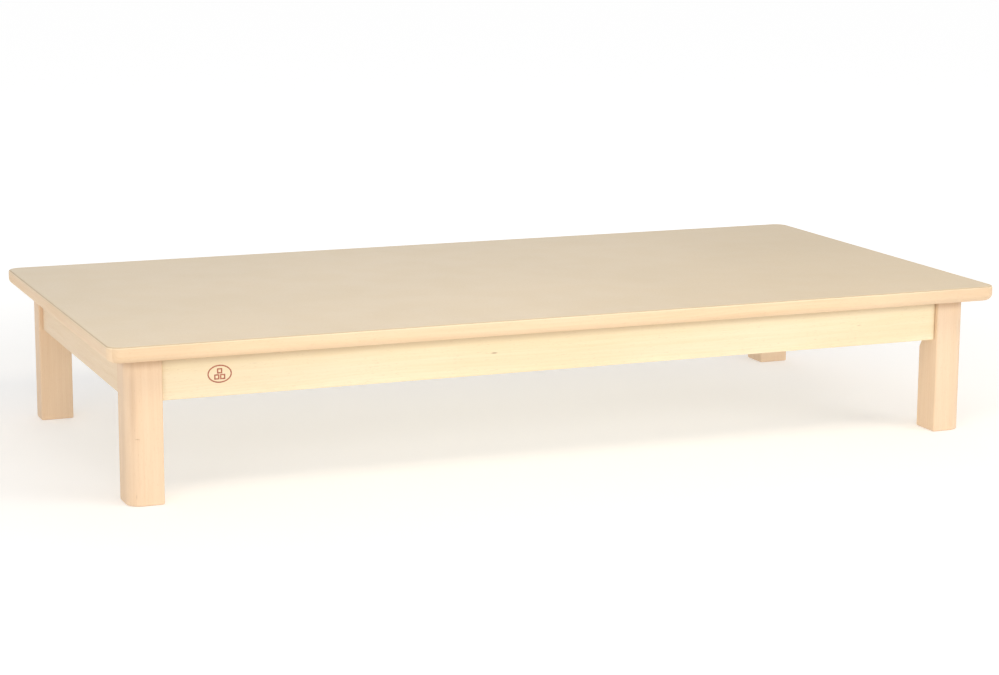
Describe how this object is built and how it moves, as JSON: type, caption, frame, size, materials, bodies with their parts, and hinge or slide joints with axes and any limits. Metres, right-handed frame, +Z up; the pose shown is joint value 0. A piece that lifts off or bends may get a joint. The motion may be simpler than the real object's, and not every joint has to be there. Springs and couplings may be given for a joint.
{
  "type": "low floor table",
  "caption": "Low rectangular floor table for young children: laminate top with solid wood lipping, wooden rails and square legs rounded at their outer corners.",
  "frame": {"origin": "on the floor, under the middle of the table", "axes": "+X along the table's length, -Y to the front, +Z up"},
  "size_m": [1.2, 0.6, 0.2],
  "materials": {
    "laminate": "warm beige high-pressure laminate, fine matt texture",
    "core_board": "raw particle board",
    "backing": "plain off-white balancing sheet, matt",
    "beech_lipping": "clear matt lacquer on pale steamed beech",
    "beech_leg": "clear matt lacquer on pale steamed beech",
    "beech_rail": "clear matt lacquer on pale steamed beech",
    "zinc_plate": "bright zinc on pressed steel",
    "screw_steel": "bright zinc on steel"
  },
  "bodies": {
    "root": {"top_laminate": "laminate", "core_panel": "core_board", "backing_laminate": "backing", "lipping_front": "beech_lipping", "lipping_right": "beech_lipping", "lipping_back": "beech_lipping", "lipping_left": "beech_lipping", "leg_front_left": "beech_leg", "leg_front_right": "beech_leg", "leg_back_right": "beech_leg", "leg_back_left": "beech_leg", "rail_front": "beech_rail", "rail_right": "beech_rail", "rail_back": "beech_rail", "rail_left": "beech_rail", "corner_plate_front_left": "zinc_plate", "corner_plate_front_right": "zinc_plate", "corner_plate_back_right": "zinc_plate", "corner_plate_back_left": "zinc_plate", "corner_plate_screws": "screw_steel", "hanger_bolts": "screw_steel", "bolt_washers": "screw_steel", "bolt_nuts": "screw_steel", "top_clips": "zinc_plate", "clip_screws": "screw_steel"}
  },
  "joints": []
}
